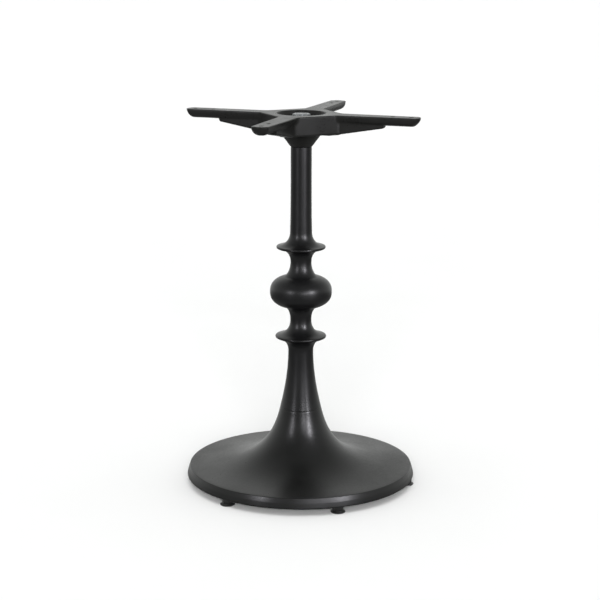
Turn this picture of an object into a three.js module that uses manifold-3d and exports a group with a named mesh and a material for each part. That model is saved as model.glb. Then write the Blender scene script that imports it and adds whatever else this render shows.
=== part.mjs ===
// Pedestal table base: a round cast foot, a turned column and a four-arm top spider, clamped
// together by one long tie rod, on six screw-adjustable levelling feet.
// Millimetres, +Z up. The origin is on the floor, under the column's axis.
import * as THREE from 'three';
import { mergeVertices } from 'three/addons/utils/BufferGeometryUtils.js';
import Module from 'manifold-3d';

// ---------- driving dimensions ----------
const HEIGHT = 718; // floor to the face that carries the table top
const GAP = 0.3; // between pieces that touch

// round base casting
const RIM_RADIUS = 221.5; // at the rim's bottom edge, the widest point
const RIM_TOP_RADIUS = 215.5;
const RIM_BOTTOM = 12;
const RIM_TOP = 32;
const WALL = 5;
const SEAM = 146.8; // where the column stands on the base
const SEAM_RADIUS = 39.5;
const FLARE_RADIUS = 57.4; // where the trumpet turns out into the disc
const FLARE_Z = 97;
const WEB_BOTTOM = 128; // the web that the tie rod pulls on
const SPIGOT_RADIUS = 30;
const SPIGOT_DEPTH = 6;
const RIB_THICKNESS = 6; // of the six ribs under the disc, one to each foot
const RIB_START = 60; // from the axis
const RIB_DEPTH = 12; // below the disc's underside

// turned column
const WAIST_RADIUS = 24.1;
const WAIST_Z = 258.3;
const LOWER_RING = { z: 287.6, radius: 48.9 };
const LOWER_NECK = { z: 321, radius: 20.2 };
const BALL = { z: 375.7, radius: 59.4, halfHeight: 32.6, power: 2.5 };
const UPPER_NECK = { z: 433, radius: 20.1 };
const UPPER_RING = { z: 462.2, radius: 47 };
const SHAFT_BOTTOM = { z: 492.5, radius: 21 };
const SHAFT_RADIUS = 19.9;
const COLUMN_TOP = 655.3;
const COLUMN_BORE = 12.5;
const CORED_WALL = 8; // of the column where its core is widest
const TENON_RADIUS = 16.5;
const TENON_LENGTH = 8;

// top spider
const SPIDER_TURN = THREE.MathUtils.degToRad(-19.2);
const ARM_COUNT = 4;
const ARM_REACH = 231.5;
const ARM_DEPTH = 16.8;
const ARM_FULLNESS = 2.6; // 2 is an ellipse, more is squarer
const ARM_BOW = 7; // how far an arm's corners stand back from its tip
const ARM_SWEEP = 12; // how far the tip's underside stands back
const ARM_TIP_HALF = 16;
const ARM_ROOT_HALF = 18.5;
const ARM_ROOT = 75; // where an arm leaves the hub
const HUB_DEPTH = 36;
const RIB_ROOT_DEPTH = 39.2;
const RIB_END = 163; // where the deep rib under an arm stops
const RIB_END_DEPTH = 23.2;
const WELL_RADIUS = 46.5;
const WELL_FLOOR_RADIUS = 38;
const WELL_DEPTH = 24.5;
const COLLAR_TOP_RADIUS = 41;
const COLLAR_RADIUS = 20.8;
const SCREW_HOLES = [178, 214]; // from the axis, along each arm
const SCREW_HOLE_RADIUS = 3.75;

// tie rod and what clamps it
const ROD_RADIUS = 10;
const ROD_PLAY = 0.5;
const ROD_BOTTOM = 98;
const ROD_TOP = HEIGHT - 1.6;
const NUT_FLATS = 30;
const NUT_HEIGHT = 16;
const WASHER = { radius: 18.5, thickness: 3 };
const SPRING_WASHER = { radius: 16.5, thickness: 3.5, split: 3 };
const PLATE_WASHER = { radius: 31, thickness: 6 };

// levelling feet
const FOOT_COUNT = 6;
const FOOT_CIRCLE = 209.7;
const FOOT_TURN = THREE.MathUtils.degToRad(-10.6);
const PAD_RADIUS = 14;
const PAD_HEIGHT = 4.6;
const PAD_SOCKET_FLOOR = 1.6; // the stud turns in a blind socket in the pad
const HEX_FLATS = 17.8;
const HEX_CORNER_RADIUS = 9.8;
const STUD_RADIUS = 4;
const STUD_TOP = 28;
const LUG_WIDTH = 18;
const LUG_START = 190; // from the axis

const AROUND = { base: 48, column: 36, collar: 24, rod: 18, foot: 16, stud: 10 };

// ---------- solids ----------
const wasm = await Module();
wasm.setup();

// One closed mesh with shared corners, no slivers at the axis, and its faces pointing out.
function closed(geometry) {
  const bare = geometry.clone();
  bare.deleteAttribute('normal');
  bare.deleteAttribute('uv');
  const merged = mergeVertices(bare, 1e-4);
  const at = merged.getAttribute('position');
  const faces = [];
  const [a, b, c] = [new THREE.Vector3(), new THREE.Vector3(), new THREE.Vector3()];
  let volume = 0;
  for (let i = 0; i < merged.index.count; i += 3) {
    const corners = [0, 1, 2].map((k) => merged.index.getX(i + k));
    if (new Set(corners).size < 3) continue;
    faces.push(...corners);
    a.fromBufferAttribute(at, corners[0]);
    b.fromBufferAttribute(at, corners[1]);
    c.fromBufferAttribute(at, corners[2]);
    volume += a.dot(b.cross(c));
  }
  if (volume < 0) faces.reverse();
  merged.setIndex(faces);
  return merged;
}

function solid(geometry) {
  const mesh = closed(geometry);
  return new wasm.Manifold(
    new wasm.Mesh({
      numProp: 3,
      vertProperties: new Float32Array(mesh.getAttribute('position').array),
      triVerts: new Uint32Array(mesh.index.array),
    }),
  );
}

function toGeometry(manifold) {
  const mesh = manifold.getMesh();
  const geometry = new THREE.BufferGeometry();
  geometry.setAttribute('position', new THREE.BufferAttribute(mesh.vertProperties, 3));
  geometry.setIndex(new THREE.BufferAttribute(mesh.triVerts, 1));
  geometry.computeVertexNormals();
  return geometry;
}

// Turns a closed outline of [radius, z] points about +Z.
function turned(outline, segments) {
  const points = outline.map(([radius, z]) => new THREE.Vector2(radius, z));
  const first = points[0];
  if (first.x > 0 || points.at(-1).x > 0) points.push(first.clone());
  return new THREE.LatheGeometry(points, segments).rotateX(Math.PI / 2);
}

function ring(outer, inner, bottom, top, segments) {
  return turned([[inner, bottom], [outer, bottom], [outer, top], [inner, top]], segments);
}

function rod(radius, bottom, top, segments) {
  return turned([[0, bottom], [radius, bottom], [radius, top], [0, top]], segments);
}

// A flat outline of [x, y] points, from one height to another.
function prism(outline, bottom, top) {
  const shape = new THREE.Shape(outline.map(([x, y]) => new THREE.Vector2(x, y)));
  const options = { depth: top - bottom, bevelEnabled: false };
  return new THREE.ExtrudeGeometry(shape, options).translate(0, 0, bottom);
}

// An outline of [x, z] points in the upright plane through an arm or rib, of some thickness in Y.
function upright(outline, thickness) {
  return prism(outline, -thickness / 2, thickness / 2).rotateX(Math.PI / 2);
}

function box(x0, x1, width, z0, z1) {
  const geometry = new THREE.BoxGeometry(x1 - x0, width, z1 - z0);
  return geometry.translate((x0 + x1) / 2, 0, (z0 + z1) / 2);
}

// Copies of one solid, evenly spaced about +Z.
function spaced(manifold, count, start) {
  const degrees = THREE.MathUtils.radToDeg(start);
  const copies = Array.from({ length: count }, (_, i) =>
    manifold.rotate([0, 0, degrees + (360 * i) / count]),
  );
  return copies.reduce((all, copy) => all.add(copy));
}

function bezier(from, control1, control2, to, steps) {
  const ends = [from, control1, control2, to].map(([x, y]) => new THREE.Vector2(x, y));
  return new THREE.CubicBezierCurve(...ends).getPoints(steps).map((p) => [p.x, p.y]);
}

// ---------- base casting ----------
function discTop(inset, steps) {
  const from = [SEAM_RADIUS - inset, SEAM];
  const turn = [FLARE_RADIUS - inset, FLARE_Z - 0.7 * inset];
  const rim = [RIM_TOP_RADIUS - 1 - inset, RIM_TOP + 0.2 - inset];
  return [
    ...bezier(from, [from[0] + 4.2, SEAM - 19.6], [turn[0] - 7, turn[1] + 12], turn, steps),
    ...bezier(turn, [turn[0] + 30, turn[1] - 51.5], [rim[0] - 80, rim[1] + 4.8], rim, steps)
      .slice(1),
  ];
}

function baseCasting() {
  const rim = [
    [RIM_TOP_RADIUS + 0.2, RIM_TOP - 0.8],
    [RIM_TOP_RADIUS + 3.4, RIM_TOP - 9],
    [RIM_RADIUS - 0.4, RIM_BOTTOM + 1.5],
    [RIM_RADIUS, RIM_BOTTOM],
  ];
  const outline = [[0, SEAM - GAP], ...discTop(0, 7).slice(1), ...rim, [0, RIM_BOTTOM]];
  const outer = solid(turned(outline, AROUND.base));
  const skin = discTop(WALL, 5).filter(([, z]) => z < WEB_BOTTOM);
  const inside = [
    [0, WEB_BOTTOM],
    [skin[0][0], WEB_BOTTOM],
    ...skin,
    [RIM_TOP_RADIUS - WALL, RIM_TOP - WALL - 2],
    [RIM_RADIUS - WALL - 0.6, RIM_BOTTOM - 5],
    [0, RIM_BOTTOM - 5],
  ];
  const hollow = solid(turned(inside, AROUND.base));
  const ribEdge = discTop(WALL + RIB_DEPTH, 5).filter(([x]) => x > RIB_START);
  const ribSide = [[RIB_START, FLARE_Z - 14], ...ribEdge, [ribEdge.at(-1)[0], RIM_TOP + 4]];
  const rib = solid(upright(ribSide, RIB_THICKNESS));
  const lug = solid(box(LUG_START, RIM_TOP_RADIUS + 0.3, LUG_WIDTH, RIM_BOTTOM + 0.2, RIM_TOP));
  const stiffening = spaced(rib.add(lug), FOOT_COUNT, FOOT_TURN).intersect(outer);
  const tappedHole = rod(STUD_RADIUS + GAP, RIM_BOTTOM - 5, STUD_TOP + 1, AROUND.stud);
  const tapped = solid(tappedHole.translate(FOOT_CIRCLE, 0, 0));
  const rodHole = solid(rod(ROD_RADIUS + ROD_PLAY, WEB_BOTTOM - 5, SEAM + 5, AROUND.rod));
  const socket = solid(rod(SPIGOT_RADIUS, SEAM - SPIGOT_DEPTH, SEAM + 5, AROUND.column));
  return toGeometry(
    outer
      .subtract(hollow)
      .add(stiffening)
      .subtract(spaced(tapped, FOOT_COUNT, FOOT_TURN))
      .subtract(rodHole)
      .subtract(socket),
  );
}

// ---------- column ----------
// The ball's outline is a superellipse, slightly squarer than an ellipse.
function ballOutline(steps) {
  const reach = 0.9 * BALL.halfHeight;
  return Array.from({ length: steps + 1 }, (_, i) => {
    const rise = reach * Math.sin(Math.PI * (i / steps - 0.5));
    const share = Math.abs(rise / BALL.halfHeight) ** BALL.power;
    return [BALL.radius * (1 - share) ** (1 / BALL.power), BALL.z + rise];
  });
}

// A ring's thin lip, rounded, between the coves above and below it.
function lip({ z, radius }) {
  return [
    [radius - 1.1, z - 2.1],
    [radius, z - 1.3],
    [radius, z + 1.3],
    [radius - 1.1, z + 2.1],
  ];
}

// The casting is cored: its bore opens out inside the ball and the trumpet.
function core() {
  const swell = BALL.radius - COLUMN_BORE - CORED_WALL;
  const lift = BALL.halfHeight - CORED_WALL;
  const inBall = [1, 0.8, 0.4, -0.4, -0.8, -1].map((share) => [
    COLUMN_BORE + swell * Math.sqrt(1 - share ** 2),
    BALL.z + lift * share,
  ]);
  return [...inBall, [COLUMN_BORE, WAIST_Z], [SEAM_RADIUS - 2 * CORED_WALL, SEAM + CORED_WALL]];
}

function columnCasting() {
  const lower = lip(LOWER_RING);
  const upper = lip(UPPER_RING);
  const ball = ballOutline(11);
  const { radius: neckLow, z: neckLowZ } = LOWER_NECK;
  const { radius: neckHigh, z: neckHighZ } = UPPER_NECK;
  const { radius: shaft, z: shaftZ } = SHAFT_BOTTOM;
  const waist = [WAIST_RADIUS, WAIST_Z];
  const outline = [
    [COLUMN_BORE, SEAM - SPIGOT_DEPTH + GAP],
    [SPIGOT_RADIUS - GAP, SEAM - SPIGOT_DEPTH + GAP],
    [SPIGOT_RADIUS - GAP, SEAM],
    ...bezier([SEAM_RADIUS, SEAM], [29.4, 187.3], [WAIST_RADIUS, 226.4], waist, 6),
    ...bezier(waist, [WAIST_RADIUS, 280.5], [39.7, 281.2], lower[0], 5).slice(1, -1),
    ...lower,
    ...bezier(lower.at(-1), [39.9, 292.7], [neckLow, 293.2], [neckLow, neckLowZ], 5).slice(1),
    ...bezier([neckLow, neckLowZ], [neckLow, 336.4], [27.2, 345.2], ball[0], 5).slice(1, -1),
    ...ball,
    ...bezier(ball.at(-1), [27.2, 406.4], [neckHigh, 417.4], [neckHigh, neckHighZ], 5).slice(1),
    ...bezier([neckHigh, neckHighZ], [neckHigh, 459], [41.8, 457.1], upper[0], 5).slice(1, -1),
    ...upper,
    ...bezier(upper.at(-1), [34.4, 465.8], [shaft, 471.5], [shaft, shaftZ], 5).slice(1),
    [SHAFT_RADIUS, 592],
    [SHAFT_RADIUS + 0.1, COLUMN_TOP - GAP],
    [TENON_RADIUS, COLUMN_TOP - GAP],
    [TENON_RADIUS, COLUMN_TOP + TENON_LENGTH],
    [COLUMN_BORE, COLUMN_TOP + TENON_LENGTH],
    ...core(),
  ];
  return closed(turned(outline, AROUND.column));
}

// ---------- spider ----------
// An arm lies along +X: flat on top, with a full, round belly that tapers towards the tip.
function armBar() {
  const ease = (share) => Math.sign(share) * Math.abs(share) ** (2 / ARM_FULLNESS);
  const belly = Array.from({ length: 11 }, (_, i) => {
    const angle = Math.PI * (1 + i / 10);
    return new THREE.Vector2(ease(Math.cos(angle)), ARM_DEPTH * ease(Math.sin(angle)));
  });
  const section = new THREE.Shape(belly);
  const bar = new THREE.ExtrudeGeometry(section, { depth: 1, bevelEnabled: false });
  // the extrusion runs along its own Z: that becomes the arm's length
  const at = bar.getAttribute('position');
  for (let i = 0; i < at.count; i += 1) {
    const along = at.getZ(i) ? ARM_REACH + 10 : 30;
    const share = (along - ARM_ROOT) / (ARM_REACH - ARM_ROOT);
    const width = THREE.MathUtils.lerp(ARM_ROOT_HALF, ARM_TIP_HALF, share);
    at.setXYZ(i, along, at.getX(i) * width, HEIGHT + at.getY(i));
  }
  return bar;
}

// A blunt nose that rounds an arm's tip from above and sweeps in below it.
function armNose() {
  const steps = [0, 0.3, 0.55, 0.8, 1.1, 1.6, 2.6];
  const outline = steps.map((share) => [ARM_DEPTH * share, ARM_REACH - ARM_SWEEP * share ** 2]);
  const [widest, back] = outline.at(-1);
  outline.push([widest + 20, back], [widest + 20, 0], [0, 0]);
  const wide = (ARM_TIP_HALF / ARM_DEPTH) * Math.sqrt(ARM_SWEEP / ARM_BOW);
  return turned(outline, AROUND.collar)
    .rotateY(Math.PI / 2)
    .scale(1, wide, 1)
    .translate(0, 0, HEIGHT);
}

// The deep rib under an arm, thick at the hub and thinner towards its end.
function armRib() {
  const bottomEnd = RIB_END - 5;
  const start = 26;
  const side = [
    [start, HEIGHT - 6],
    [start, HEIGHT - RIB_ROOT_DEPTH],
    [60, HEIGHT - RIB_ROOT_DEPTH],
    [bottomEnd - 3, HEIGHT - RIB_END_DEPTH],
    [bottomEnd, HEIGHT - RIB_END_DEPTH + 0.7],
    [RIB_END, HEIGHT - ARM_DEPTH + 1],
    [RIB_END, HEIGHT - 6],
  ];
  const flank = bezier([ARM_ROOT - 20, 30], [ARM_ROOT + 3, 15], [105, 11.5], [RIB_END + 5, 9.5], 6);
  const plan = [...flank, ...flank.toReversed().map(([x, y]) => [x, -y]), [0, -30], [0, 30]];
  return solid(upright(side, 80)).intersect(solid(prism(plan, HEIGHT - 60, HEIGHT)));
}

// The hub from above: a square with its corners cut where the arms leave it.
function hubOutline() {
  const corners = [];
  for (let i = 0; i < ARM_COUNT; i += 1) {
    const turn = (Math.PI / 2) * i;
    for (const side of [-1, 1]) {
      const corner = new THREE.Vector2(ARM_ROOT, side * ARM_ROOT_HALF);
      corner.rotateAround(new THREE.Vector2(), turn);
      corners.push([corner.x, corner.y]);
    }
  }
  return corners;
}

function topSpider() {
  const hubBottom = HEIGHT - HUB_DEPTH;
  const wellFloor = HEIGHT - WELL_DEPTH;
  const hub = solid(prism(hubOutline(), hubBottom, HEIGHT));
  const collarOutline = [
    [0, COLUMN_TOP],
    [COLLAR_RADIUS, COLUMN_TOP],
    [COLLAR_TOP_RADIUS, hubBottom],
    [COLLAR_TOP_RADIUS, hubBottom + 4],
    [0, hubBottom + 4],
  ];
  const collar = solid(turned(collarOutline, AROUND.collar));
  const wellOutline = [
    [0, wellFloor],
    [WELL_FLOOR_RADIUS, wellFloor],
    [WELL_RADIUS, HEIGHT],
    [WELL_RADIUS, HEIGHT + 5],
    [0, HEIGHT + 5],
  ];
  const well = solid(turned(wellOutline, AROUND.column));
  const rodHole = solid(rod(ROD_RADIUS + ROD_PLAY, COLUMN_TOP - 5, HEIGHT, AROUND.rod));
  const socketTop = COLUMN_TOP + TENON_LENGTH + GAP;
  const socket = solid(rod(TENON_RADIUS + GAP, COLUMN_TOP - 5, socketTop, AROUND.rod));
  const holes = SCREW_HOLES.map((x) =>
    solid(rod(SCREW_HOLE_RADIUS, HEIGHT - 30, HEIGHT + 5, AROUND.stud).translate(x, 0, 0)),
  );
  const bar = solid(armBar()).intersect(solid(armNose()));
  const arm = bar.add(armRib()).subtract(holes[0]).subtract(holes[1]);
  return toGeometry(
    spaced(arm, ARM_COUNT, 0)
      .add(hub)
      .add(collar)
      .subtract(well)
      .subtract(rodHole)
      .subtract(socket)
      .rotate([0, 0, THREE.MathUtils.radToDeg(SPIDER_TURN)]),
  );
}

// ---------- fasteners ----------
function hexagon(flats) {
  return Array.from({ length: 6 }, (_, i) => {
    const angle = (Math.PI / 3) * i;
    const corner = flats / Math.sqrt(3);
    return [corner * Math.cos(angle), corner * Math.sin(angle)];
  });
}

// A hexagon with a round hole, its corners eased by a turned outline.
function hexPiece(flats, bottom, top, hole, easedRadius, segments) {
  const ease = 1.2;
  const easing = [
    [0, bottom],
    [easedRadius - ease, bottom],
    [easedRadius, bottom + ease / 2],
    [easedRadius, top - ease / 2],
    [easedRadius - ease, top],
    [0, top],
  ];
  const round = solid(turned(easing, segments));
  const bore = solid(rod(hole, bottom - 1, top + 1, segments));
  return solid(prism(hexagon(flats), bottom, top)).intersect(round).subtract(bore);
}

function nut(bottom) {
  const corner = NUT_FLATS / Math.sqrt(3);
  const top = bottom + NUT_HEIGHT;
  return toGeometry(
    hexPiece(NUT_FLATS, bottom, top, ROD_RADIUS + GAP, corner - 0.1, AROUND.rod),
  );
}

function washer({ radius, thickness }, bottom) {
  const hole = ROD_RADIUS + ROD_PLAY + 0.1;
  return closed(ring(radius, hole, bottom, bottom + thickness, AROUND.rod));
}

function springWasher(bottom) {
  const { radius, thickness, split } = SPRING_WASHER;
  const whole = solid(ring(radius, ROD_RADIUS + GAP, bottom, bottom + thickness, AROUND.rod));
  const cut = solid(box(0, radius + 5, split, bottom - 1, bottom + thickness + 1));
  return toGeometry(whole.subtract(cut));
}

// ---------- levelling foot, on the axis ----------
function footPad() {
  const socket = STUD_RADIUS + GAP;
  const outline = [
    [0, 0],
    [PAD_RADIUS - 1, 0],
    [PAD_RADIUS, 1.2],
    [PAD_RADIUS - 0.2, 2.4],
    [12.2, 3.2],
    [10.3, PAD_HEIGHT],
    [socket, PAD_HEIGHT],
    [socket, PAD_SOCKET_FLOOR],
    [0, PAD_SOCKET_FLOOR],
  ];
  return closed(turned(outline, AROUND.foot));
}

function footHex() {
  const bottom = PAD_HEIGHT + GAP;
  const top = RIM_BOTTOM - GAP;
  const hole = STUD_RADIUS + GAP;
  return toGeometry(hexPiece(HEX_FLATS, bottom, top, hole, HEX_CORNER_RADIUS, AROUND.foot));
}

function footStud() {
  return closed(rod(STUD_RADIUS, PAD_SOCKET_FLOOR + GAP, STUD_TOP, AROUND.stud));
}

// ---------- the assembly ----------
const castBlack = { color: 0x232325, roughness: 0.5, metalness: 0 };
const spiderBlack = { color: 0x2c2c2b, roughness: 0.6, metalness: 0 };
const zinc = { color: 0xc4c6c6, roughness: 0.3, metalness: 1 };
const plasticBlack = { color: 0x1a1a1b, roughness: 0.4, metalness: 0 };

const table = new THREE.Group();

function place(name, geometry, look, parent = table) {
  const mesh = new THREE.Mesh(geometry, new THREE.MeshStandardMaterial(look));
  mesh.name = name;
  parent.add(mesh);
}

place('base_casting', baseCasting(), castBlack);
place('column_casting', columnCasting(), castBlack);
place('top_spider', topSpider(), spiderBlack);
place('tie_rod', closed(rod(ROD_RADIUS, ROD_BOTTOM, ROD_TOP, AROUND.rod)), zinc);

const topWasherZ = HEIGHT - WELL_DEPTH + GAP;
const springWasherZ = topWasherZ + WASHER.thickness + GAP;
const topNutZ = springWasherZ + SPRING_WASHER.thickness + GAP;
place('top_washer', washer(WASHER, topWasherZ), zinc);
place('top_spring_washer', springWasher(springWasherZ), zinc);
place('top_nut', nut(topNutZ), zinc);

const bottomWasherZ = WEB_BOTTOM - GAP - PLATE_WASHER.thickness;
const bottomNutZ = bottomWasherZ - GAP - NUT_HEIGHT;
place('bottom_washer', washer(PLATE_WASHER, bottomWasherZ), zinc);
place('bottom_nut', nut(bottomNutZ), zinc);

for (let i = 0; i < FOOT_COUNT; i += 1) {
  const foot = new THREE.Group();
  const angle = FOOT_TURN + (2 * Math.PI * i) / FOOT_COUNT;
  foot.position.set(FOOT_CIRCLE * Math.cos(angle), FOOT_CIRCLE * Math.sin(angle), 0);
  foot.rotation.z = angle;
  place(`foot_pad_${i + 1}`, footPad(), plasticBlack, foot);
  place(`foot_hex_${i + 1}`, footHex(), plasticBlack, foot);
  place(`foot_stud_${i + 1}`, footStud(), zinc, foot);
  table.add(foot);
}

export default table;
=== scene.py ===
import math

import bpy
import numpy as np
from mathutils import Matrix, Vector


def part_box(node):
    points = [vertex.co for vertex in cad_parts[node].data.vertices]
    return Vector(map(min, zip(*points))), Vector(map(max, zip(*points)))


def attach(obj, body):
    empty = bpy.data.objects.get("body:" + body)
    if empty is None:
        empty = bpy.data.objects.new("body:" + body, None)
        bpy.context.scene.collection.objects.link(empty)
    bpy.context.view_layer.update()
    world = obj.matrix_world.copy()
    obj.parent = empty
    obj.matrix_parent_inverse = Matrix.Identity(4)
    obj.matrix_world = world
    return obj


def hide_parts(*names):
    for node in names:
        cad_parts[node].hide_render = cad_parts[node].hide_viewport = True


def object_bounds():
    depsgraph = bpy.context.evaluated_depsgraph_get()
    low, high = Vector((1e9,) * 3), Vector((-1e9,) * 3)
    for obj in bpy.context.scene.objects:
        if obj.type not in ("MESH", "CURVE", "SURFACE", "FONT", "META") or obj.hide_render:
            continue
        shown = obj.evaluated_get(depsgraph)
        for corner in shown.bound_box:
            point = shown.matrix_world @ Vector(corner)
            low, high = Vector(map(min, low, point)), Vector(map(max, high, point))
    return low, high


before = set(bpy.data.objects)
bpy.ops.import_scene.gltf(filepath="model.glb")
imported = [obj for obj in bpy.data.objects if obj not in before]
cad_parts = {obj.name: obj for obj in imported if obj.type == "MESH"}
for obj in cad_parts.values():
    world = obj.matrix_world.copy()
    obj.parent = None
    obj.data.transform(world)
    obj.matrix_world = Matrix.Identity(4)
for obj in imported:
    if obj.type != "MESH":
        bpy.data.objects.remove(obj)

cad_low, cad_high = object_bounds()

MM = 0.001
ROOT = "pedestal"


# ---------------------------------------------------------------- meshes
def new_mesh(name, vertices, faces):
    """A mesh from vertices in millimetres."""
    mesh = bpy.data.meshes.new(name)
    mesh.from_pydata([tuple(v) for v in np.asarray(vertices, float) * MM], [], faces)
    return mesh


def new_object(name, data):
    thing = bpy.data.objects.new(name, data)
    bpy.context.scene.collection.objects.link(thing)
    return thing


def make_object(name, vertices, faces, body, cad_nodes, sharp_angle=35):
    """A smooth-shaded piece that stands for the CAD nodes and rides on their body."""
    mesh = new_mesh(name, vertices, faces)
    mesh.validate()
    mesh.shade_smooth()
    mesh.set_sharp_from_angle(angle=math.radians(sharp_angle))
    piece = new_object(name, mesh)
    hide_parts(*cad_nodes)
    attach(piece, body)
    return piece


def bezier(start, control1, control2, end, steps):
    """The points of a cubic curve."""
    t = np.linspace(0, 1, steps + 1)[:, None]
    p = [np.array(q, float) for q in (start, control1, control2, end)]
    curve = (1 - t) ** 3 * p[0] + 3 * (1 - t) ** 2 * t * p[1] + 3 * (1 - t) * t**2 * p[2] + t**3 * p[3]
    return [tuple(q) for q in curve]


def eased(corners, steps=5):
    """A polygon's corners, each (x, y, radius), rounded off. Corners without a radius stay sharp."""
    out = []
    count = len(corners)
    for i, corner in enumerate(corners):
        here = np.array(corner[:2], float)
        radius = corner[2] if len(corner) > 2 else 0
        if radius == 0:
            out.append(tuple(here))
            continue
        before = np.array(corners[i - 1][:2], float) - here
        after = np.array(corners[(i + 1) % count][:2], float) - here
        before_unit, after_unit = before / np.linalg.norm(before), after / np.linalg.norm(after)
        half = math.acos(np.clip(before_unit @ after_unit, -1, 1)) / 2
        reach = min(radius / math.tan(half), 0.49 * np.linalg.norm(before), 0.49 * np.linalg.norm(after))
        start, end = here + before_unit * reach, here + after_unit * reach
        for k in range(steps + 1):
            t = k / steps
            out.append(tuple((1 - t) ** 2 * start + 2 * t * (1 - t) * here + t**2 * end))
    return out


def band(low, high, around):
    """The quads between two rings of points, each given by its first index."""
    following = [(k + 1) % around for k in range(around)]
    return [[low + k, low + n, high + n, high + k] for k, n in enumerate(following)]


def revolved(outline, around):
    """Vertices and faces of a closed outline of (radius, z) turned about the axis."""
    outline = np.array(outline, float)
    angles = np.linspace(0, 2 * math.pi, around, endpoint=False)
    rings, vertices, faces = [], [], []
    for radius, z in outline:
        if radius < 1e-6:
            rings.append([len(vertices)] * around)
            vertices.append((0, 0, z))
        else:
            first = len(vertices)
            rings.append(list(range(first, first + around)))
            vertices += [(radius * math.cos(a), radius * math.sin(a), z) for a in angles]
    for low, high in zip(rings, rings[1:] + rings[:1]):
        if low[0] == low[1] and high[0] == high[1]:
            continue
        for k in range(around):
            n = (k + 1) % around
            face = list(dict.fromkeys([low[k], low[n], high[n], high[k]]))
            if len(face) > 2:
                faces.append(face)
    return vertices, faces


def outward(vertices, faces):
    """The faces turned so that the closed mesh's volume is positive."""
    v = np.array(vertices, float)
    volume = 0.0
    for f in faces:
        for k in range(1, len(f) - 1):
            volume += np.dot(v[f[0]], np.cross(v[f[k]], v[f[k + 1]]))
    return faces if volume > 0 else [f[::-1] for f in faces]


def moved(vertices, x, y, turn=0.0):
    """The vertices turned about the z axis and then shifted."""
    v = np.array(vertices, float)
    c, s = math.cos(turn), math.sin(turn)
    return np.column_stack([c * v[:, 0] - s * v[:, 1] + x, s * v[:, 0] + c * v[:, 1] + y, v[:, 2]])


def threaded_rod(radius, pitch, bottom, top, threads, around=40, point=1.2):
    """A rod with real thread crests between the (low, high) spans in threads, and eased ends."""
    depth = 0.6 * pitch
    flat = 0.15  # share of the pitch that is flat at the root, and again at the crest
    step = pitch / 8
    levels = [bottom]
    for low, high in threads:
        levels += list(np.arange(low, high, step)) + [high]
    levels.append(top)
    levels = sorted(set(round(z, 4) for z in levels))
    angles = np.linspace(0, 2 * math.pi, around, endpoint=False)
    vertices = [(0, 0, bottom)]
    for z in levels:
        inside = any(low <= z <= high for low, high in threads)
        for a in angles:
            r = radius
            if inside:
                phase = (z / pitch - a / (2 * math.pi)) % 1
                rise = min(1.0, max(0.0, (abs(phase - 0.5) * 2 - flat) / (1 - 2 * flat)))
                r = radius - depth * (1 - rise)
            ease = min(z - bottom, top - z)
            if ease < point:
                r = min(r, radius - point + ease)
            vertices.append((r * math.cos(a), r * math.sin(a), z))
    vertices.append((0, 0, top))
    faces = []
    last = 1 + around * (len(levels) - 1)
    for k in range(around):
        n = (k + 1) % around
        faces.append([0, 1 + n, 1 + k])
        faces.append([len(vertices) - 1, last + k, last + n])
    for i in range(len(levels) - 1):
        faces += band(1 + around * i, 1 + around * (i + 1), around)
    return vertices, faces


def hexagon_piece(flats, bottom, top, hole, chamfer=0.95, slope=0.5, around=96, hole_ease=0.8):
    """A hexagon nut's body: its corners run into a cone at both ends, as turned chamfers do."""
    angles = np.linspace(0, 2 * math.pi, around, endpoint=False)
    corner_turn = (angles % (math.pi / 3)) - math.pi / 6
    side = flats / 2 / np.cos(corner_turn)
    circle = flats / 2 * chamfer
    cone = (side - circle) * slope
    edge, edge_drop = 0.15, 0.3
    rings = [
        (hole + hole_ease, bottom),
        (circle, bottom),
        (side - edge, bottom + cone),
        (side, bottom + cone + edge_drop),
        (side, top - cone - edge_drop),
        (side - edge, top - cone),
        (circle, top),
        (hole + hole_ease, top),
        (hole, top - hole_ease),
        (hole, bottom + hole_ease),
    ]
    vertices, faces = [], []
    for radius, z in rings:
        radii, heights = np.broadcast_to(radius, around), np.broadcast_to(z, around)
        vertices += [(r * math.cos(a), r * math.sin(a), h) for r, a, h in zip(radii, angles, heights)]
    for i in range(len(rings)):
        faces += band(i * around, (i + 1) % len(rings) * around, around)
    return vertices, faces


def swept(sections):
    """A closed mesh through equal rings of points, capped at both ends."""
    count = len(sections[0])
    vertices = [p for section in sections for p in section]
    faces = [list(range(count))[::-1], list(range(len(vertices) - count, len(vertices)))]
    for i in range(len(sections) - 1):
        faces += band(i * count, (i + 1) * count, count)
    return vertices, faces


def split_washer(radius, hole, bottom, top, gap=3.5):
    """A spring washer: a ring with a gap at +x."""
    half = math.asin(gap / 2 / radius)
    section = eased([(hole, bottom, 0.3), (radius, bottom, 0.3), (radius, top, 0.3), (hole, top, 0.3)], 2)
    angles = np.linspace(half, 2 * math.pi - half, 60)
    return swept([[(r * math.cos(a), r * math.sin(a), z) for r, z in section] for a in angles])


# ---------------------------------------------------------------- implicit surfaces
def soft_min(a, b, blend):
    """The smaller of two fields, with a fillet where they are within blend of each other."""
    h = np.clip(0.5 + 0.5 * (b - a) / blend, 0, 1)
    return b + (a - b) * h - blend * h * (1 - h)


def soft_max(a, b, blend):
    return -soft_min(-a, -b, blend)


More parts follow.
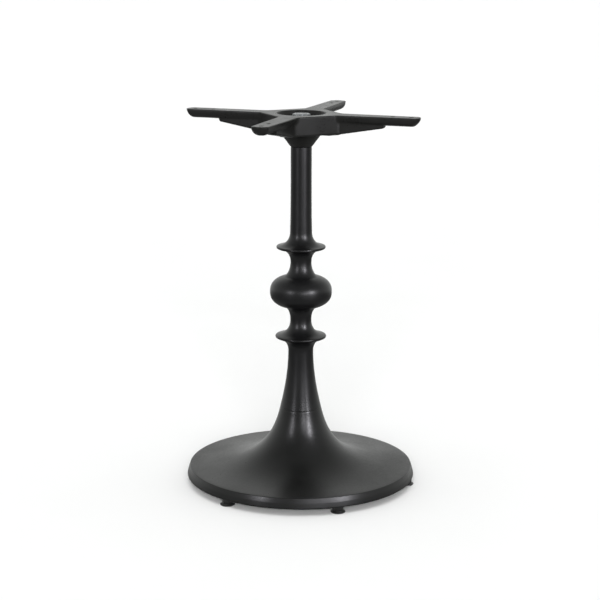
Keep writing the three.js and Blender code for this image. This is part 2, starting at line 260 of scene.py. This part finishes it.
def surface_of(field, low, high, cell, near):
    """Vertices and quads of the zero surface of field(x, y, z), which lies where near(x, y) says.

    Surface nets give a first net of points, which then settles onto the surface.
    """
    axes = [np.arange(l, h + cell, cell) for l, h in zip(low, high)]
    shape = [len(a) for a in axes]
    x, y, z = np.meshgrid(*axes, indexing="ij")
    outside = 10.0
    values = np.full(shape, outside, np.float32)
    mask = near(x, y)
    values[mask] = field(x[mask], y[mask], z[mask])
    inside = values < 0
    corners = [(i, j, k) for i in (0, 1) for j in (0, 1) for k in (0, 1)]
    n = [s - 1 for s in shape]

    def corner(array, c):
        return array[c[0] : c[0] + n[0], c[1] : c[1] + n[1], c[2] : c[2] + n[2]]

    # one point in each cell that the surface passes through, at the mean of its edges' crossings
    total = sum(corner(inside, c).astype(np.int8) for c in corners)
    active = (total > 0) & (total < 8)
    index = np.full(n, -1, np.int64)
    cells = np.argwhere(active)
    index[active] = np.arange(len(cells))
    sums, hits = np.zeros((len(cells), 3)), np.zeros(len(cells))
    at = {c: corner(values, c)[active].astype(float) for c in corners}
    for c in corners:
        for axis in range(3):
            if c[axis]:
                continue
            d = tuple(v + (1 if i == axis else 0) for i, v in enumerate(c))
            crossing = (at[c] < 0) != (at[d] < 0)
            t = at[c] / np.where(crossing, at[c] - at[d], 1)
            point = np.repeat(np.array([c], float), len(cells), 0)
            point[:, axis] += t
            sums[crossing] += point[crossing]
            hits += crossing
    points = (cells + sums / hits[:, None]) * cell + np.array(low)

    # the points move along the field's slope until they lie on the surface
    delta = 0.05
    sides = delta * np.eye(3)
    for _ in range(4):
        value = field(*points.T)
        rises = [field(*(points + side).T) - field(*(points - side).T) for side in sides]
        slope = np.stack(rises, axis=1) / (2 * delta)
        size = np.maximum((slope**2).sum(1), 0.05)
        move = -(value / size)[:, None] * slope
        length = np.linalg.norm(move, axis=1)
        points += move * np.minimum(1, 0.35 * cell / np.maximum(length, 1e-9))[:, None]

    # one quad around each edge of the grid that crosses the surface
    quads = []
    for axis in range(3):
        one, two = [a for a in range(3) if a != axis]
        low_end = [slice(1, s - 1) for s in shape]
        low_end[axis] = slice(0, shape[axis] - 1)
        high_end = list(low_end)
        high_end[axis] = slice(1, shape[axis])
        a, b = inside[tuple(low_end)], inside[tuple(high_end)]
        for starts, flip in ((a & ~b, False), (~a & b, True)):
            spots = np.argwhere(starts)
            offset = np.ones(3, int)
            offset[axis] = 0
            spots = spots + offset
            around = []
            for i, j in ((0, 0), (1, 0), (1, 1), (0, 1)):
                at_cell = spots.copy()
                at_cell[:, one] -= i
                at_cell[:, two] -= j
                around.append(index[tuple(at_cell.T)])
            quad = np.stack(around, 1)
            if flip != (axis == 1):
                quad = quad[:, ::-1]
            quads.append(quad)
    return points, np.concatenate(quads)


# ---------------------------------------------------------------- base casting
HEIGHT = cad_high.z / MM
GAP = 0.3
RIM_RADIUS = 221.5
RIM_TOP_RADIUS = 215.5
RIM_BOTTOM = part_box("base_casting")[0].z / MM
RIM_TOP = RIM_BOTTOM + 20
WALL = 5
SPIGOT_DEPTH = 6
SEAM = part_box("column_casting")[0].z / MM + SPIGOT_DEPTH - GAP
SEAM_RADIUS = 39.5
FLARE_RADIUS = 57.4
FLARE_Z = 97
WEB_BOTTOM = 128
SPIGOT_RADIUS = 30
FOOT_CIRCLE = 209.7
FOOT_COUNT = 6
FOOT_TURN = math.radians(-10.6)
FOOT_STEP = math.radians(360 / FOOT_COUNT)
LUG_START = 190
LUG_WIDTH = 18
RIB_THICKNESS, RIB_START, RIB_DEPTH = 6, 60, 12
STUD_RADIUS, STUD_PITCH, STUD_TOP = 4, 1.25, 28
ROD_RADIUS, ROD_PITCH, ROD_HOLE_RADIUS = 10, 2.5, 10.5


def disc_top(inset, steps):
    """The base's upper outline from the seam to the rim, moved into the metal by inset."""
    start = (SEAM_RADIUS - inset, SEAM)
    turn = (FLARE_RADIUS - inset, FLARE_Z - 0.7 * inset)
    rim = (RIM_TOP_RADIUS - 1 - inset, RIM_TOP + 0.2 - inset)
    neck = bezier(start, (start[0] + 4.2, SEAM - 19.6), (turn[0] - 7, turn[1] + 12), turn, steps)
    disc = bezier(turn, (turn[0] + 30, turn[1] - 51.5), (rim[0] - 80, rim[1] + 4.8), rim, 2 * steps)
    return neck + disc[1:]


def base_shell():
    """The outline of the base's shell: its socket, top, rim and hollow underside."""
    top = disc_top(0, 22)
    skin = [p for p in disc_top(WALL, 16) if p[1] < WEB_BOTTOM]
    rim = eased(
        [
            top[-2],
            (RIM_TOP_RADIUS + 0.3, RIM_TOP, 1.6),
            (RIM_TOP_RADIUS + 3.4, RIM_TOP - 9, 12),
            (RIM_RADIUS - 0.3, RIM_BOTTOM + 1.8, 4),
            (RIM_RADIUS - 1.2, RIM_BOTTOM, 0.8),
            (RIM_RADIUS - WALL - 0.5, RIM_BOTTOM, 1),
            (RIM_TOP_RADIUS - WALL, RIM_TOP - WALL - 2, 5),
            skin[-1],
        ]
    )
    socket = [
        (ROD_HOLE_RADIUS, SEAM - SPIGOT_DEPTH),
        (SPIGOT_RADIUS, SEAM - SPIGOT_DEPTH),
        (SPIGOT_RADIUS, SEAM - GAP),
        (SEAM_RADIUS - 0.6, SEAM - GAP),
        (SEAM_RADIUS - 0.2, SEAM - GAP - 0.4),
    ]
    web = [(skin[0][0] - 1.5, WEB_BOTTOM), (ROD_HOLE_RADIUS, WEB_BOTTOM)]
    return socket + top[1:-1] + rim[1:-1] + skin[::-1] + web


def base_rib():
    """A rib along +x under the disc: drafted, with a round lower edge, fading into the neck."""
    edge = [p for p in disc_top(WALL + RIB_DEPTH, 20) if p[0] > RIB_START + 20]
    (x0, z0), (x1, z1) = (RIB_START, FLARE_Z - 14), edge[0]
    lead = [(x0 + (x1 - x0) * t, z0 + (z1 - z0) * t) for t in (0, 0.3, 0.6, 0.85)]
    half, root_half = RIB_THICKNESS / 2 - 0.4, RIB_THICKNESS / 2 + 0.8
    skin = np.array(disc_top(2, 20))
    turns = np.linspace(-math.pi / 2, math.pi / 2, 9)
    sections = []
    for x, z in lead + edge:
        arc = [(x, half * math.sin(a), z + half * (1 - math.cos(a))) for a in turns]
        top = min(z + WALL + RIB_DEPTH, np.interp(x, *skin.T))
        sections.append([(x, -root_half, top)] + arc + [(x, root_half, top)])
    return swept(sections)


def base_lug():
    """The boss that a levelling foot screws into, with eased corners."""
    half, end = LUG_WIDTH / 2, RIM_TOP_RADIUS
    plan = eased([(LUG_START, -half, 4), (end, -half), (end, half), (LUG_START, half, 4)])
    levels = ((RIM_BOTTOM + 0.2, -0.8), (RIM_BOTTOM + 1, 0), (RIM_TOP - 3, 0.8))
    middle = (LUG_START + end) / 2
    rings = []
    for z, grow in levels:
        wider, longer = 1 + grow / half, 1 + grow / (end - middle)
        rings.append([(min(middle + (x - middle) * longer, end), y * wider, z) for x, y in plan])
    return swept(rings)


def tapped_hole():
    """The cutter for one tapped hole, with a countersink at its mouth."""
    radius = STUD_RADIUS + GAP
    outline = [
        (0, RIM_BOTTOM - 2),
        (radius + 1.2, RIM_BOTTOM - 2),
        (radius + 1.2, RIM_BOTTOM + 0.2),
        (radius, RIM_BOTTOM + 1.4),
        (radius, STUD_TOP),
        (radius - 1.5, STUD_TOP + 1),
        (0, STUD_TOP + 1),
    ]
    vertices, faces = revolved(outline, 40)
    return moved(vertices, FOOT_CIRCLE, 0), faces


def combined(piece, mesh, operation):
    """The piece with a second mesh joined to it or cut from it."""
    tool = new_object("tool", mesh)
    modifier = piece.modifiers.new("combine", "BOOLEAN")
    modifier.operation = operation
    modifier.solver = "MANIFOLD"
    modifier.object = tool
    bpy.context.view_layer.update()
    result = bpy.data.meshes.new_from_object(piece.evaluated_get(bpy.context.evaluated_depsgraph_get()))
    piece.modifiers.clear()
    piece.data = result
    bpy.data.objects.remove(tool)
    bpy.data.meshes.remove(mesh)


def base_mesh():
    """The base as one closed mesh: its shell, and a rib, lug and tapped hole for each levelling foot."""
    vertices, faces = revolved(base_shell(), 160)
    blank = new_object("blank", new_mesh("blank", vertices, outward(vertices, faces)))
    details = (base_rib(), "UNION"), (base_lug(), "UNION"), (tapped_hole(), "DIFFERENCE")
    for (vertices, faces), operation in details:
        for i in range(FOOT_COUNT):
            turned = moved(vertices, 0, 0, FOOT_TURN + FOOT_STEP * i)
            combined(blank, new_mesh("tool", turned, outward(turned, faces)), operation)
    done = blank.data
    vertices = np.array([v.co for v in done.vertices]) / MM
    faces = [list(p.vertices) for p in done.polygons]
    bpy.data.objects.remove(blank)
    return vertices, faces


# ---------------------------------------------------------------- column
WAIST = (24.1, 258.3)
LOWER_RING = (48.9, 287.6)
LOWER_NECK = (20.2, 321)
BALL_RADIUS, BALL_Z, BALL_HALF, BALL_POWER = 59.4, 375.7, 32.6, 2.5
UPPER_NECK = (20.1, 433)
UPPER_RING = (47, 462.2)
SHAFT_BOTTOM = (21, 492.5)
SHAFT_RADIUS = 19.9
COLUMN_TOP = 655.3
COLUMN_BORE = 12.5
TENON_RADIUS, TENON_LENGTH = 16.5, 8
LIP_DEPTH, LIP_HALF = 1.15, 2.1


def lip(ring):
    """The rounded edge of a ring, from its underside to its top."""
    radius, z = ring
    return [
        (radius - LIP_DEPTH + LIP_DEPTH * math.cos(a), z + LIP_HALF * math.sin(a))
        for a in np.linspace(-math.pi / 2, math.pi / 2, 9)
    ]


def ball_outline(steps):
    """A superellipse, without its ends, which the necks cut off."""
    reach = 0.9 * BALL_HALF
    out = []
    for t in np.linspace(-0.5, 0.5, steps + 1):
        rise = reach * math.sin(math.pi * t)
        share = abs(rise / BALL_HALF) ** BALL_POWER
        out.append((BALL_RADIUS * (1 - share) ** (1 / BALL_POWER), BALL_Z + rise))
    return out


def column_outline():
    lower, upper, ball = lip(LOWER_RING), lip(UPPER_RING), ball_outline(40)
    low_r, high_r, shaft_r = LOWER_NECK[0], UPPER_NECK[0], SHAFT_BOTTOM[0]
    spigot_r, spigot_z = SPIGOT_RADIUS - GAP, SEAM - SPIGOT_DEPTH + GAP
    return (
        [(COLUMN_BORE, spigot_z), (spigot_r, spigot_z), (spigot_r, SEAM), (SEAM_RADIUS - 0.2, SEAM)]
        + bezier((SEAM_RADIUS, SEAM + 0.2), (29.4, 187.3), (WAIST[0], 226.4), WAIST, 22)
        + bezier(WAIST, (WAIST[0], 280.5), (39.7, 281.2), lower[0], 16)[1:-1]
        + lower
        + bezier(lower[-1], (39.9, 292.7), (low_r, 293.2), LOWER_NECK, 16)[1:]
        + bezier(LOWER_NECK, (low_r, 336.4), (27.2, 345.2), ball[0], 12)[1:-1]
        + ball
        + bezier(ball[-1], (27.2, 406.4), (high_r, 417.4), UPPER_NECK, 12)[1:]
        + bezier(UPPER_NECK, (high_r, 459), (41.8, 457.1), upper[0], 16)[1:-1]
        + upper
        + bezier(upper[-1], (34.4, 465.8), (shaft_r, 471.5), SHAFT_BOTTOM, 16)[1:]
        + [(SHAFT_RADIUS + 0.4, 520), (SHAFT_RADIUS, 592), (SHAFT_RADIUS + 0.1, COLUMN_TOP - GAP - 0.6)]
        + [(SHAFT_RADIUS - 0.5, COLUMN_TOP - GAP), (TENON_RADIUS, COLUMN_TOP - GAP)]
        + [(TENON_RADIUS, COLUMN_TOP + TENON_LENGTH - 0.6), (TENON_RADIUS - 0.6, COLUMN_TOP + TENON_LENGTH)]
        + [(COLUMN_BORE, COLUMN_TOP + TENON_LENGTH)]
    )


# ---------------------------------------------------------------- spider
SPIDER_TURN = math.radians(-19.2)
ARM_REACH = 231.5
ARM_DEPTH = 16.8
ARM_FULLNESS = 2.6
ARM_TIP_HALF, ARM_ROOT_HALF, ARM_ROOT = 16, 18.5, 75
ARM_START = 20  # the arms and their ribs begin inside the hub
NOSE_SWEEP, NOSE_BOW = 12, 7
NOSE_WIDE = ARM_TIP_HALF / ARM_DEPTH * math.sqrt(NOSE_SWEEP / NOSE_BOW)
HUB_DEPTH = 36
ARM_RIB_START, ARM_RIB_END = 55, 163
ARM_RIB_ROOT_DEPTH, ARM_RIB_END_DEPTH = 39.2, 23.2
ARM_RIB_HALF, ARM_RIB_FLARE = 9.5, 6
COLLAR_RADIUS, COLLAR_TOP_RADIUS, COLLAR_START = 20.8, 41, 28
COLLAR_DEPTH = HEIGHT - COLUMN_TOP
WELL_RADIUS, WELL_FLOOR, WELL_DEPTH = 46.5, 38, 24.5
WELL_WALL_COSINE = 0.945
SCREW_HOLES, SCREW_HOLE_RADIUS = (178, 214), 3.75


def arm_field(x, y, depth):
    """One arm along +x with its rib: below zero inside. depth is downward from the top face."""
    share = (x - ARM_ROOT) / (ARM_REACH - ARM_ROOT)
    width = ARM_ROOT_HALF + (ARM_TIP_HALF - ARM_ROOT_HALF) * share
    across, down = np.abs(y) / width, np.abs(depth) / ARM_DEPTH
    level = (across**ARM_FULLNESS + down**ARM_FULLNESS + 1e-9) ** (1 / ARM_FULLNESS)
    power = ARM_FULLNESS - 1
    tilt = np.hypot((across / level) ** power / width, (down / level) ** power / ARM_DEPTH)
    belly = (level - 1) / (tilt + 1e-4)
    off_axis = (y / NOSE_WIDE) ** 2 + depth**2
    nose = x - ARM_REACH + NOSE_SWEEP * off_axis / ARM_DEPTH**2
    nose = nose / np.sqrt(1 + (2 * NOSE_SWEEP / ARM_DEPTH**2) ** 2 * off_axis)
    bar = soft_max(belly, nose, 2.5)
    bar = soft_max(bar, ARM_START - x, 1)

    along = np.clip((x - ARM_RIB_START) / (ARM_RIB_END - ARM_RIB_START), 0, 1)
    half = ARM_RIB_HALF + ARM_RIB_FLARE * (1 - along)
    rise = np.clip((x - ARM_RIB_START - 5) / (ARM_RIB_END - ARM_RIB_START - 13), 0, 1.2)
    bottom = ARM_RIB_ROOT_DEPTH - (ARM_RIB_ROOT_DEPTH - ARM_RIB_END_DEPTH) * rise
    end = (x - ARM_RIB_END + 0.25 * np.clip(depth - ARM_DEPTH, 0, 9)) * 0.97
    rib = soft_max(np.abs(y) - half, (depth - bottom) * 0.98, 3)
    rib = soft_max(rib, end, 1.2)
    return soft_min(bar, soft_max(rib, ARM_START - x, 1), 1.6)


def spider_field(x, y, z):
    """The spider with its arms along x and y: below zero inside."""
    depth = HEIGHT - z
    ax, ay = np.abs(x), np.abs(y)
    along, across = np.maximum(ax, ay), np.minimum(ax, ay)
    radius = np.sqrt(x * x + y * y)

    arms = np.minimum(arm_field(along, across, depth), 60.0)
    hub = (ax + ay - ARM_ROOT - ARM_ROOT_HALF) / math.sqrt(2)
    hub = soft_max(hub, along - ARM_ROOT - 4, 3)
    hub = soft_max(hub, depth - HUB_DEPTH, 3)
    body = soft_min(arms, hub, 3.5)
    spread = (COLLAR_TOP_RADIUS - COLLAR_RADIUS) / (COLLAR_DEPTH - HUB_DEPTH)
    collar = (radius - COLLAR_RADIUS - (COLLAR_DEPTH - depth) * spread) / math.hypot(1, spread)
    collar = soft_max(collar, np.maximum(depth - COLLAR_DEPTH, COLLAR_START - depth), 1.2)
    body = soft_min(body, collar, 3)
    body = soft_max(body, -depth, 1.4)

    well_side = WELL_FLOOR + (WELL_RADIUS - WELL_FLOOR) * (WELL_DEPTH - depth) / WELL_DEPTH
    well = soft_max((radius - well_side) * WELL_WALL_COSINE, depth - WELL_DEPTH, 2)
    body = soft_max(body, -well, 1.4)
    body = np.maximum(body, ROD_HOLE_RADIUS - radius)
    socket = np.maximum(radius - TENON_RADIUS - GAP, COLLAR_DEPTH - TENON_LENGTH - GAP - depth)
    body = np.maximum(body, -socket)
    for hole in SCREW_HOLES:
        bore = SCREW_HOLE_RADIUS - np.sqrt((along - hole) ** 2 + across**2)
        body = soft_max(body, bore, 0.5)
    return body


def near_spider(x, y):
    """Whether a place is over the hub or an arm, with some room to spare."""
    along, across = np.maximum(np.abs(x), np.abs(y)), np.minimum(np.abs(x), np.abs(y))
    return (along < ARM_ROOT + 17) | (across < ARM_ROOT_HALF + 6.5)


def spider_mesh():
    margin = 3
    reach = ARM_REACH + margin
    low, high = (-reach, -reach, COLUMN_TOP - margin), (reach, reach, HEIGHT + margin)
    return surface_of(spider_field, low, high, 1.25, near_spider)


# ---------------------------------------------------------------- materials
class Nodes:
    """A material's node tree, with short calls for the nodes used here."""

    def __init__(self, name):
        self.material = bpy.data.materials.new(name)
        self.material.use_nodes = True
        self.tree = self.material.node_tree
        self.tree.nodes.clear()
        self.output = self.tree.nodes.new("ShaderNodeOutputMaterial")
        self.shader = self.tree.nodes.new("ShaderNodeBsdfPrincipled")
        self.link(self.shader.outputs["BSDF"], self.output.inputs["Surface"])
        coordinates = self.tree.nodes.new("ShaderNodeTexCoord")
        self.place = coordinates.outputs["Object"]

    def link(self, source, target):
        self.tree.links.new(source, target)

    def noise(self, scale, detail=2.0, roughness=0.5, stretch=None):
        node = self.tree.nodes.new("ShaderNodeTexNoise")
        node.inputs["Scale"].default_value = scale
        node.inputs["Detail"].default_value = detail
        node.inputs["Roughness"].default_value = roughness
        source = self.place
        if stretch:
            mapping = self.tree.nodes.new("ShaderNodeMapping")
            mapping.inputs["Scale"].default_value = stretch
            self.link(source, mapping.inputs["Vector"])
            source = mapping.outputs["Vector"]
        self.link(source, node.inputs["Vector"])
        return node.outputs["Fac"]

    def cells(self, scale):
        node = self.tree.nodes.new("ShaderNodeTexVoronoi")
        node.feature = "SMOOTH_F1"
        node.inputs["Scale"].default_value = scale
        self.link(self.place, node.inputs["Vector"])
        return node.outputs["Distance"]

    def ramp(self, source, *stops):
        node = self.tree.nodes.new("ShaderNodeValToRGB")
        elements = node.color_ramp.elements
        while len(elements) < len(stops):
            elements.new(0.5)
        for element, (position, colour) in zip(elements, stops):
            element.position = position
            element.color = (*colour, 1) if isinstance(colour, tuple) else (colour,) * 3 + (1,)
        self.link(source, node.inputs["Fac"])
        return node.outputs["Color"]

    def range(self, source, low, high, to_low, to_high):
        node = self.tree.nodes.new("ShaderNodeMapRange")
        for name, value in zip(("From Min", "From Max", "To Min", "To Max"), (low, high, to_low, to_high)):
            node.inputs[name].default_value = value
        self.link(source, node.inputs["Value"])
        return node.outputs["Result"]

    def math(self, operation, a, b):
        node = self.tree.nodes.new("ShaderNodeMath")
        node.operation = operation
        self.link(a, node.inputs[0])
        self.link(b, node.inputs[1])
        return node.outputs["Value"]

    def bump(self, *heights):
        """Bumps in turn, each (height, distance in metres)."""
        normal = None
        for height, distance in heights:
            node = self.tree.nodes.new("ShaderNodeBump")
            node.inputs["Strength"].default_value = 1.0
            node.inputs["Distance"].default_value = distance
            self.link(height, node.inputs["Height"])
            if normal:
                self.link(normal, node.inputs["Normal"])
            normal = node.outputs["Normal"]
        self.link(normal, self.shader.inputs["Normal"])


def painted_iron(name, base, roughness, specular, spread=0.06):
    """Powder coat: slightly pebbled, with broad patches that are a little duller or darker."""
    n = Nodes(name)
    broad = n.noise(9, 3, 0.6)
    fine = n.noise(260, 2, 0.5)
    dark = tuple(0.82 * c for c in base)
    light = tuple(1.2 * c for c in base)
    n.link(n.ramp(broad, (0.35, dark), (0.65, light)), n.shader.inputs["Base Color"])
    patches = n.range(broad, 0.3, 0.7, roughness - spread, roughness + spread)
    grain = n.range(fine, 0.3, 0.7, -0.03, 0.03)
    n.link(n.math("ADD", patches, grain), n.shader.inputs["Roughness"])
    n.bump((n.noise(30, 2, 0.5), 0.00008), (n.cells(520), 0.00003))
    n.shader.inputs["Specular IOR Level"].default_value = specular
    return n.material


def zinc_plate(name):
    n = Nodes(name)
    broad = n.noise(60, 3, 0.6)
    brushed = n.noise(300, 2, 0.5, stretch=(1, 1, 0.08))
    colour = n.ramp(broad, (0.3, (0.22, 0.23, 0.24)), (0.7, (0.32, 0.33, 0.34)))
    n.link(colour, n.shader.inputs["Base Color"])
    n.link(n.range(brushed, 0.3, 0.7, 0.2, 0.42), n.shader.inputs["Roughness"])
    n.shader.inputs["Metallic"].default_value = 1.0
    n.bump((brushed, 0.00003))
    return n.material


def moulded_black(name):
    n = Nodes(name)
    broad = n.noise(90, 3, 0.6)
    n.link(n.ramp(broad, (0.3, 0.008), (0.7, 0.014)), n.shader.inputs["Base Color"])
    n.link(n.range(broad, 0.3, 0.7, 0.24, 0.4), n.shader.inputs["Roughness"])
    n.bump((n.noise(700, 2, 0.5), 0.00002))
    return n.material


COLUMN_PAINT = painted_iron("black_powder_coat_column", (0.005, 0.005, 0.0053), 0.34, 0.3)
BASE_PAINT = painted_iron("black_powder_coat_base", (0.005, 0.0052, 0.005), 0.35, 0.29)
SPIDER_PAINT = painted_iron("black_powder_coat_spider", (0.012, 0.012, 0.0115), 0.3, 0.12)
ZINC = zinc_plate("bright_zinc_plate")
NYLON = moulded_black("black_nylon")


# ---------------------------------------------------------------- the object
NUT_FLATS, FOOT_HEX_FLATS = 30, 17.8
WASHER_HOLE_RADIUS, SPRING_WASHER_RADIUS = 10.6, 16.5
WASHER_RADII = {"top_washer": 18.5, "bottom_washer": 31}
LOWER_THREAD_TOP, UPPER_THREAD_BOTTOM = 132, 690
STUD_THREAD = 14
PAD_OUTLINE = [
    (0, 0),
    (12.6, 0, 0.6),
    (14, 1.0, 0.8),
    (13.9, 2.2, 0.8),
    (11.6, 3.1, 2.5),
    (10.4, 4.6, 0.4),
    (4.3, 4.6),
    (4.3, 1.6),
    (0, 1.6),
]


def add(name, mesh, body, cad_nodes, material):
    vertices, faces = mesh
    piece = make_object(name, vertices, outward(vertices, faces), body, cad_nodes)
    piece.data.materials.append(material)


def span(node):
    """The heights of a CAD node's underside and top."""
    return [(corner / MM).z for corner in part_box(node)]


def add_castings():
    add("base_foot", base_mesh(), ROOT, ["base_casting"], BASE_PAINT)
    column = revolved(column_outline(), 128)
    add("turned_column", column, ROOT, ["column_casting"], COLUMN_PAINT)
    points, quads = spider_mesh()
    points = moved(points, 0, 0, SPIDER_TURN)
    spider = make_object("arm_spider", points, quads.tolist(), ROOT, ["top_spider"], 60)
    spider.data.materials.append(SPIDER_PAINT)


def add_fasteners():
    low, high = span("tie_rod")
    threads = [(low, LOWER_THREAD_TOP), (UPPER_THREAD_BOTTOM, high)]
    rod = threaded_rod(ROD_RADIUS, ROD_PITCH, low, high, threads)
    add("threaded_tie_rod", rod, ROOT, ["tie_rod"], ZINC)
    for node in ("top_nut", "bottom_nut"):
        nut = hexagon_piece(NUT_FLATS, *span(node), ROD_RADIUS + GAP)
        add(node + "_chamfered", nut, ROOT, [node], ZINC)
    for node, radius in WASHER_RADII.items():
        low, high = span(node)
        hole = WASHER_HOLE_RADIUS
        outline = eased([(hole, low), (radius, low, 0.5), (radius, high, 0.6), (hole, high, 0.3)], 3)
        add(node + "_stamped", revolved(outline, 72), ROOT, [node], ZINC)
    washer = split_washer(SPRING_WASHER_RADIUS, ROD_RADIUS + GAP, *span("top_spring_washer"))
    add("spring_washer_split", washer, ROOT, ["top_spring_washer"], ZINC)


def add_levelling_foot(number):
    """The pad, which slides, and the hexagon and stud, which also turn."""
    turn = FOOT_TURN + FOOT_STEP * (number - 1)
    place = (FOOT_CIRCLE * math.cos(turn), FOOT_CIRCLE * math.sin(turn), turn)

    def there(mesh):
        return moved(mesh[0], *place), mesh[1]

    pad = revolved(eased(PAD_OUTLINE), 64)
    low, high = span(f"foot_hex_{number}")
    hexagon = hexagon_piece(
        FOOT_HEX_FLATS, low, high, STUD_RADIUS + GAP, chamfer=0.98, slope=0.3, around=48, hole_ease=0.3
    )
    low, high = span(f"foot_stud_{number}")
    threads = [(high - STUD_THREAD, high)]
    stud = threaded_rod(STUD_RADIUS, STUD_PITCH, low, high, threads, around=20, point=0.5)
    slide, screw = f"foot_{number}", f"foot_screw_{number}"
    add(f"pad_{number}", there(pad), slide, [f"foot_pad_{number}"], NYLON)
    add(f"hex_{number}", there(hexagon), screw, [f"foot_hex_{number}"], NYLON)
    add(f"stud_{number}", there(stud), screw, [f"foot_stud_{number}"], ZINC)


add_castings()
add_fasteners()
for number in range(1, FOOT_COUNT + 1):
    add_levelling_foot(number)


# ---------------------------------------------------------------- stage
def stage_material(name, colour):
    n = Nodes(name)
    n.link(n.ramp(n.noise(3, 2), (0.3, colour * 0.99), (0.7, colour)), n.shader.inputs["Base Color"])
    n.shader.inputs["Roughness"].default_value = 0.9
    n.shader.inputs["Specular IOR Level"].default_value = 0.1
    return n.material


def pale_floor():
    """A wide floor that the camera sees and that takes shadows, but that lights and mirrors nothing."""
    reach = 30 / MM
    corners = [(-reach, -reach, 0), (reach, -reach, 0), (reach, reach, 0), (-reach, reach, 0)]
    floor = new_object("floor", new_mesh("floor", corners, [[0, 1, 2, 3]]))
    floor.data.materials.append(stage_material("pale_floor", 0.9))
    floor.visible_glossy = False
    floor.visible_diffuse = False


FRONT_LIGHT, BACK_LIGHT, BELOW_LIGHT, FLOOR_LIGHT = 0.45, 1.03, 0.15, 0.35
OVERHEAD_SHARE = 0.45
HORIZON_DROP = 0.2
SKY_COLOUR = (0.985, 1, 0.985, 1)


def studio_world():
    """Bright behind the object, dimmer in front and overhead, and dark at a low angle below.

    Straight down it is lighter again. Behind the object the bright part reaches lower.
    """
    world = bpy.data.worlds.new("studio")
    world.use_nodes = True
    tree = world.node_tree
    coordinates = tree.nodes.new("ShaderNodeTexCoord")
    split = tree.nodes.new("ShaderNodeSeparateXYZ")
    tree.links.new(coordinates.outputs["Generated"], split.inputs["Vector"])
    y, z = split.outputs["Y"], split.outputs["Z"]

    def ranged(source, low, high, to_low, to_high):
        node = tree.nodes.new("ShaderNodeMapRange")
        node.interpolation_type = "SMOOTHSTEP"
        for name, value in zip(("From Min", "From Max", "To Min", "To Max"), (low, high, to_low, to_high)):
            node.inputs[name].default_value = value
        tree.links.new(source, node.inputs["Value"])
        return node.outputs["Result"]

    def calculated(operation, *values):
        node = tree.nodes.new("ShaderNodeMath")
        node.operation = operation
        for socket, value in zip(node.inputs, values):
            if isinstance(value, (int, float)):
                socket.default_value = value
            else:
                tree.links.new(value, socket)
        return node.outputs["Value"]

    around = ranged(y, -0.9, 0.5, FRONT_LIGHT, BACK_LIGHT)
    overhead = ranged(z, 0.25, 0.9, 1, OVERHEAD_SHARE)
    sky = calculated("MULTIPLY", around, overhead)
    horizon = calculated("MULTIPLY_ADD", calculated("MAXIMUM", y, 0), HORIZON_DROP, z)
    share = ranged(horizon, -0.12, 0.06, 0, 1)
    below = ranged(z, -0.75, -0.15, FLOOR_LIGHT, BELOW_LIGHT)
    blend = tree.nodes.new("ShaderNodeMix")
    tree.links.new(below, blend.inputs["A"])
    tree.links.new(share, blend.inputs["Factor"])
    tree.links.new(sky, blend.inputs["B"])
    background = tree.nodes["Background"]
    background.inputs["Color"].default_value = SKY_COLOUR
    tree.links.new(blend.outputs["Result"], background.inputs["Strength"])
    bpy.context.scene.world = world


SOFTBOX_COLOUR = (0.95, 0.94, 1.0)
SOFTBOX_DISTANCE = 2.5
SOFTBOX_TARGET = Vector((0, 0, 0.37))


def softbox(name, azimuth, elevation, width, height, power):
    """A rectangular light that faces the column's middle.

    Azimuth 0 is the camera's side, positive to the right. Only reflections show it.
    """
    data = bpy.data.lights.new(name, "AREA")
    data.shape = "RECTANGLE"
    data.size, data.size_y = width, height
    data.energy = power
    data.color = SOFTBOX_COLOUR
    light = new_object(name, data)
    a, e = math.radians(azimuth), math.radians(elevation)
    out = Vector((math.sin(a) * math.cos(e), -math.cos(a) * math.cos(e), math.sin(e)))
    light.location = SOFTBOX_TARGET + out * SOFTBOX_DISTANCE
    light.rotation_euler = (-out).to_track_quat("-Z", "Y").to_euler()
    light.visible_camera = False
    light.visible_diffuse = False


def floor_sun(name, elevation, energy, spread):
    """A very soft sun from the camera's side that lights the floor and leaves no reflection."""
    data = bpy.data.lights.new(name, "SUN")
    data.energy = energy
    data.angle = math.radians(spread)
    light = new_object(name, data)
    light.rotation_euler = (math.radians(90 - elevation), 0, 0)
    light.location = (0, 0, 4)
    light.visible_glossy = False


pale_floor()
studio_world()
softbox("key_right", 41, 16.5, 0.36, 0.8, 52)
softbox("fill_right", 16, 12, 0.7, 0.6, 16)
softbox("strip_right", 41, -2, 0.36, 1.2, 2)
softbox("key_left", -40, 16, 0.33, 0.75, 18)
softbox("strip_left", -40, -2, 0.33, 1.2, 1.2)
floor_sun("ceiling", 90, 1.15, 60)
floor_sun("front_fill", 14, 3.4, 30)

# ---------------------------------------------------------------- camera
CAMERA_PLACE = (0, -3.2144, 1.0924)
CAMERA_LENS, CAMERA_SHIFT = 102.95, -0.00146
LOOKING_DOWN, ROLL = math.radians(12.87), math.radians(0.153)

camera_data = bpy.data.cameras.new("camera")
camera_data.sensor_width = 36
camera_data.lens = CAMERA_LENS
camera_data.shift_x = CAMERA_SHIFT
camera_data.clip_start, camera_data.clip_end = 0.1, 100
camera = new_object("camera", camera_data)
camera.rotation_mode = "XYZ"
camera.location = CAMERA_PLACE
camera.rotation_euler = (math.radians(90) - LOOKING_DOWN, 0, 0)
camera.rotation_euler.rotate_axis("Z", ROLL)
bpy.context.scene.camera = camera
bpy.context.scene.view_settings.view_transform = "Standard"
